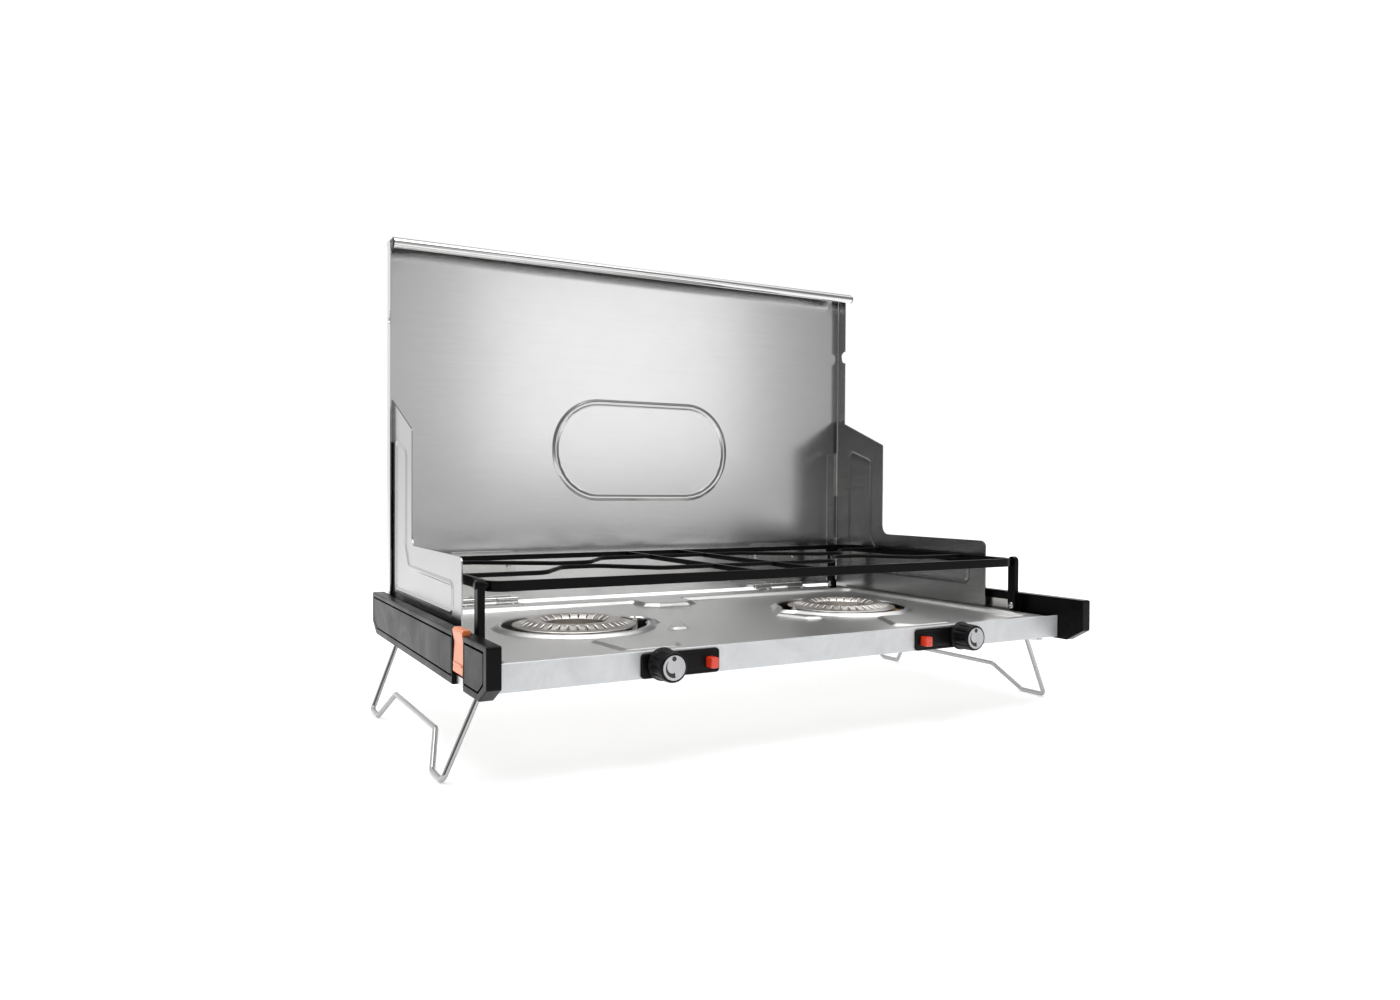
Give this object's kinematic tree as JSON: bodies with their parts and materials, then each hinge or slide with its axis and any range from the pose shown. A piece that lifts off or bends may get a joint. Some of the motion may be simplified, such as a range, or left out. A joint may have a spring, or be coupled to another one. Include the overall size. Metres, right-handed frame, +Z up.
{
  "type": "camp stove",
  "caption": "Folding gas camp stove set up for use: steel tray with round burners, black wire-bar grate, raised lid, side windscreens and folding wire legs.",
  "frame": {"origin": "centre of the footprint on the ground, in the middle of the box round the stove at rest", "axes": "+X towards the user's right along the stove's length, +Y to the back where the lid stands, +Z up"},
  "size_m": [0.54, 0.324, 0.395],
  "materials": {
    "tray_steel": "brushed",
    "lid_steel": "brushed",
    "screen_steel": "brushed",
    "panel_silver": "satin",
    "zinc": "polished",
    "grate_black": "satin",
    "rail_grey": "satin",
    "control_black": "satin",
    "knob_pale": "satin",
    "button_red": "gloss",
    "latch_orange": "gloss",
    "brass": "polished",
    "burner_steel": "brushed",
    "hem_bright": "polished",
    "plug_black": "matte",
    "ceramic": "glazed"
  },
  "bodies": {
    "base": {"bottom_cover": "tray_steel", "burner_bowl_left": "burner_steel", "burner_bowl_right": "burner_steel", "burner_cap_left": "burner_steel", "burner_cap_right": "burner_steel", "control_plate_left": "control_black", "control_plate_right": "control_black", "electrodes": "ceramic", "end_rail_left": "rail_grey", "end_rail_right": "rail_grey", "front_panel": "panel_silver", "gas_inlet": "brass", "igniters": "control_black", "latch_pin": "zinc", "latch_plate": "zinc", "leg_clips": "zinc", "lid_hinge_pins": "zinc", "manifold_pipe": "brass", "mixer_tubes": "burner_steel", "post_ears": "grate_black", "post_screws": "zinc", "rail_screws": "zinc", "side_bracket_left": "zinc", "side_bracket_right": "zinc", "supply_pipe": "brass", "tray": "tray_steel", "tray_hinge_leaf_left": "zinc", "tray_hinge_leaf_right": "zinc", "tray_rivets": "zinc", "valves": "brass"},
    "lid": {"lid_panel": "lid_steel", "lid_hem": "hem_bright", "hem_plugs": "plug_black", "lid_hinge_leaf_left": "zinc", "lid_hinge_leaf_right": "zinc", "lid_rivets": "zinc", "screen_leaves": "zinc", "screen_pins": "zinc"},
    "grate": {"grate_frame": "grate_black", "wave_bar_front": "grate_black", "wave_bar_back": "grate_black", "long_bars": "grate_black"},
    "screen_left": {"windscreen_left": "screen_steel"},
    "front_post_left": {"post_front_left": "grate_black"},
    "back_post_left": {"post_back_left": "grate_black"},
    "leg_left": {"leg_left": "zinc"},
    "knob_left": {"knob_grip_left": "control_black", "knob_face_left": "knob_pale", "valve_stem_left": "brass"},
    "button_left": {"button_left": "button_red"},
    "screen_right": {"windscreen_right": "screen_steel"},
    "front_post_right": {"post_front_right": "grate_black"},
    "back_post_right": {"post_back_right": "grate_black"},
    "leg_right": {"leg_right": "zinc"},
    "knob_right": {"knob_grip_right": "control_black", "knob_face_right": "knob_pale", "valve_stem_right": "brass"},
    "button_right": {"button_right": "button_red"},
    "latch_left": {"latch_left": "latch_orange"}
  },
  "joints": [
    {"name": "lid_tilt", "type": "hinge", "parent": "base", "child": "lid", "pos_m": [0, 0.1505, 0.0805], "axis": [-1, 0, 0], "range_deg": [0, 20]},
    {"name": "screen_left_play", "type": "hinge", "parent": "lid", "child": "screen_left", "pos_m": [-0.2429, 0.1568, 0.15], "axis": [0, 0, 1], "range_deg": [-0.8, 0.8]},
    {"name": "screen_right_play", "type": "hinge", "parent": "lid", "child": "screen_right", "pos_m": [0.2429, 0.1568, 0.15], "axis": [0, 0, 1], "range_deg": [-0.8, 0.8]},
    {"name": "front_post_left_fold", "type": "hinge", "parent": "base", "child": "front_post_left", "pos_m": [-0.2411, -0.095, 0.0813], "axis": [1, 0, 0], "range_deg": [0, 86]},
    {"name": "back_post_left_fold", "type": "hinge", "parent": "base", "child": "back_post_left", "pos_m": [-0.2163, 0.1316, 0.0813], "axis": [1, 0, 0], "range_deg": [0, 86]},
    {"name": "front_post_right_fold", "type": "hinge", "parent": "base", "child": "front_post_right", "pos_m": [0.2411, -0.095, 0.0813], "axis": [1, 0, 0], "range_deg": [0, 86]},
    {"name": "back_post_right_fold", "type": "hinge", "parent": "base", "child": "back_post_right", "pos_m": [0.2163, 0.1316, 0.0813], "axis": [1, 0, 0], "range_deg": [0, 86]},
    {"name": "grate_level", "type": "hinge", "parent": "front_post_left", "child": "grate", "pos_m": [-0.2411, -0.095, 0.1205], "axis": [1, 0, 0], "range_deg": [-86, 0]},
    {"name": "leg_left_fold", "type": "hinge", "parent": "base", "child": "leg_left", "pos_m": [-0.2435, 0, 0.0565], "axis": [0, -1, 0], "range_deg": [0, 114]},
    {"name": "knob_left_turn", "type": "hinge", "parent": "base", "child": "knob_left", "pos_m": [-0.1325, -0.14, 0.0685], "axis": [0, -1, 0], "range_deg": [0, 240]},
    {"name": "button_left_press", "type": "slide", "parent": "base", "child": "button_left", "axis": [0, 1, 0], "range_m": [0, 0.003], "stiffness_N_per_m": 600},
    {"name": "leg_right_fold", "type": "hinge", "parent": "base", "child": "leg_right", "pos_m": [0.2435, 0, 0.0565], "axis": [0, 1, 0], "range_deg": [0, 114]},
    {"name": "knob_right_turn", "type": "hinge", "parent": "base", "child": "knob_right", "pos_m": [0.1325, -0.14, 0.0685], "axis": [0, -1, 0], "range_deg": [0, 240]},
    {"name": "button_right_press", "type": "slide", "parent": "base", "child": "button_right", "axis": [0, 1, 0], "range_m": [0, 0.003], "stiffness_N_per_m": 600},
    {"name": "latch_left_swing", "type": "hinge", "parent": "base", "child": "latch_left", "pos_m": [-0.2545, -0.102, 0.07], "axis": [0, -1, 0], "range_deg": [0, 25]}
  ],
  "couplings": [
    {"joint": "front_post_right_fold", "follows": "front_post_left_fold", "ratio": 1},
    {"joint": "back_post_left_fold", "follows": "front_post_left_fold", "ratio": 1},
    {"joint": "back_post_right_fold", "follows": "front_post_left_fold", "ratio": 1},
    {"joint": "grate_level", "follows": "front_post_left_fold", "ratio": -1}
  ]
}
